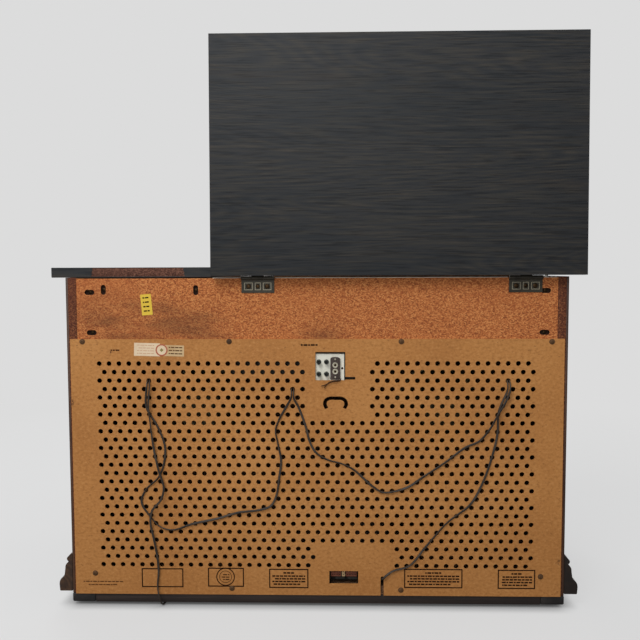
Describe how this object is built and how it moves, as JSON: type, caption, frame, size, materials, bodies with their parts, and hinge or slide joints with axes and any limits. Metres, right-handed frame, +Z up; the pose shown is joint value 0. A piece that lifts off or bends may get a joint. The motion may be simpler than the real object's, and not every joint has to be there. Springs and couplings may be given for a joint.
{
  "type": "console stereo cabinet",
  "caption": "Low console cabinet with a lift lid over a record changer and receiver, speaker grilles in front and a perforated hardboard back.",
  "frame": {"origin": "on the floor, at the bottom centre of the box round the cabinet with its lid open", "axes": "+Z up, front faces -Y, perforated back faces +Y, +X to the right of a person standing in front"},
  "size_m": [1.01, 0.4761, 1.0918],
  "materials": {
    "dark_wood": "satin stained walnut finish",
    "side_wood": "satin stained walnut veneer",
    "chipboard": "raw particleboard",
    "hardboard": "raw tempered hardboard",
    "laminate": "charcoal wood-grain laminate",
    "black_edge": "black-stained edge",
    "bronze": "dark bronze",
    "zinc": "zinc plated sheet",
    "steel": "brushed and plated",
    "phenolic": "phenolic board",
    "vinyl": "brown cord vinyl",
    "black_plastic": "moulded",
    "cloth": "woven grille cloth",
    "paper": "pressed paper cone",
    "changer_enamel": "satin enamel",
    "pointer_red": "moulded"
  },
  "bodies": {
    "cabinet": {"base_moulding_front": "dark_wood", "base_moulding_left": "dark_wood", "base_moulding_right": "dark_wood", "front_frame": "dark_wood", "fretwork_left": "dark_wood", "fretwork_right": "dark_wood", "centre_panel": "dark_wood", "side_panel_left": "side_wood", "side_panel_right": "side_wood", "bottom_board": "chipboard", "rear_rail": "chipboard", "lid_partition": "chipboard", "baffle_board": "chipboard", "back_panel": "hardboard", "fixed_top": "laminate", "base_frame": "black_edge", "hinge_leaf_rail_left": "bronze", "hinge_leaf_rail_right": "bronze", "jack_plate": "zinc", "amplifier_chassis": "zinc", "receiver_chassis": "zinc", "speaker_frame_left": "zinc", "speaker_frame_right": "zinc", "glide_front_left": "steel", "glide_front_right": "steel", "glide_rear_left": "steel", "glide_rear_right": "steel", "receiver_faceplate": "steel", "spindle": "steel", "rca_jacks": "phenolic", "terminal_block": "phenolic", "power_transformer": "phenolic", "power_cord": "vinyl", "power_plug": "vinyl", "antenna_pigtail": "vinyl", "strain_relief": "black_plastic", "deck_board": "black_plastic", "grille_cloth": "cloth", "speaker_cone_left": "paper", "speaker_cone_right": "paper", "changer_plate": "changer_enamel"},
    "lid": {"lid_panel": "laminate", "hinge_leaf_lid_left": "bronze", "hinge_leaf_lid_right": "bronze", "stay_lid_bracket": "zinc"},
    "stay_lower": {"stay_lower_link": "zinc"},
    "stay_upper": {"stay_upper_link": "zinc"},
    "platter": {"platter": "black_plastic"},
    "overarm": {"overarm": "steel"},
    "tonearm_gimbal": {"tonearm_gimbal": "steel"},
    "tonearm": {"tonearm": "steel"},
    "changer_lever": {"changer_lever": "steel"},
    "volume_knob": {"volume_knob": "steel"},
    "balance_knob": {"balance_knob": "steel"},
    "tone_knob": {"tone_knob": "steel"},
    "tuning_knob": {"tuning_knob": "steel"},
    "dial_pointer": {"dial_pointer": "pointer_red"},
    "button_phono": {"button_phono": "black_plastic"},
    "button_am": {"button_am": "black_plastic"},
    "button_fm": {"button_fm": "black_plastic"}
  },
  "joints": [
    {"name": "lid_hinge", "type": "hinge", "parent": "cabinet", "child": "lid", "pos_m": [0, 0.21525, 0.6402], "axis": [1, 0, 0], "range_deg": [0, 88.6]},
    {"name": "stay_lower_pivot", "type": "hinge", "parent": "cabinet", "child": "stay_lower", "pos_m": [-0.4547, 0.13, 0.6], "axis": [1, 0, 0], "range_deg": [0, 98.78]},
    {"name": "stay_upper_pivot", "type": "hinge", "parent": "lid", "child": "stay_upper", "pos_m": [-0.452, 0.19817, 0.83984], "axis": [1, 0, 0], "range_deg": [-144.62, 0]},
    {"name": "platter_spin", "type": "hinge", "parent": "cabinet", "child": "platter", "pos_m": [-0.305, 0, 0.575], "axis": [0, 0, -1], "continuous": true},
    {"name": "overarm_swing", "type": "hinge", "parent": "cabinet", "child": "overarm", "pos_m": [-0.165, 0.128, 0.6], "axis": [0, 0, -1], "range_deg": [0, 42]},
    {"name": "tonearm_swing", "type": "hinge", "parent": "cabinet", "child": "tonearm_gimbal", "pos_m": [-0.14, 0.105, 0.575], "axis": [0, 0, -1], "range_deg": [0, 41]},
    {"name": "tonearm_lift", "type": "hinge", "parent": "tonearm_gimbal", "child": "tonearm", "pos_m": [-0.14, 0.105, 0.592], "axis": [-1, 0, 0], "range_deg": [0, 10]},
    {"name": "changer_lever_slide", "type": "slide", "parent": "cabinet", "child": "changer_lever", "axis": [0, 1, 0], "range_m": [0, 0.01], "stiffness_N_per_m": 60},
    {"name": "volume_turn", "type": "hinge", "parent": "cabinet", "child": "volume_knob", "pos_m": [-0.045, -0.06, 0.565], "axis": [0, 0, -1], "range_deg": [0, 300]},
    {"name": "balance_turn", "type": "hinge", "parent": "cabinet", "child": "balance_knob", "pos_m": [0.015, -0.06, 0.565], "axis": [0, 0, -1], "range_deg": [-150, 150]},
    {"name": "tone_turn", "type": "hinge", "parent": "cabinet", "child": "tone_knob", "pos_m": [0.075, -0.06, 0.565], "axis": [0, 0, -1], "range_deg": [-150, 150]},
    {"name": "tuning_turn", "type": "hinge", "parent": "cabinet", "child": "tuning_knob", "pos_m": [0.13, -0.06, 0.565], "axis": [0, 0, -1], "range_deg": [0, 720]},
    {"name": "dial_pointer_slide", "type": "slide", "parent": "cabinet", "child": "dial_pointer", "axis": [1, 0, 0], "range_m": [0, 0.19]},
    {"name": "button_phono_press", "type": "slide", "parent": "cabinet", "child": "button_phono", "axis": [0, 0, -1], "range_m": [0, 0.004], "stiffness_N_per_m": 250},
    {"name": "button_am_press", "type": "slide", "parent": "cabinet", "child": "button_am", "axis": [0, 0, -1], "range_m": [0, 0.004], "stiffness_N_per_m": 250},
    {"name": "button_fm_press", "type": "slide", "parent": "cabinet", "child": "button_fm", "axis": [0, 0, -1], "range_m": [0, 0.004], "stiffness_N_per_m": 250}
  ],
  "couplings": [
    {"joint": "stay_lower_pivot", "follows": "lid_hinge", "ratio": 1.1143},
    {"joint": "stay_upper_pivot", "follows": "lid_hinge", "ratio": -1.6317},
    {"joint": "dial_pointer_slide", "follows": "tuning_turn", "m_per_rad": 0.015119}
  ]
}
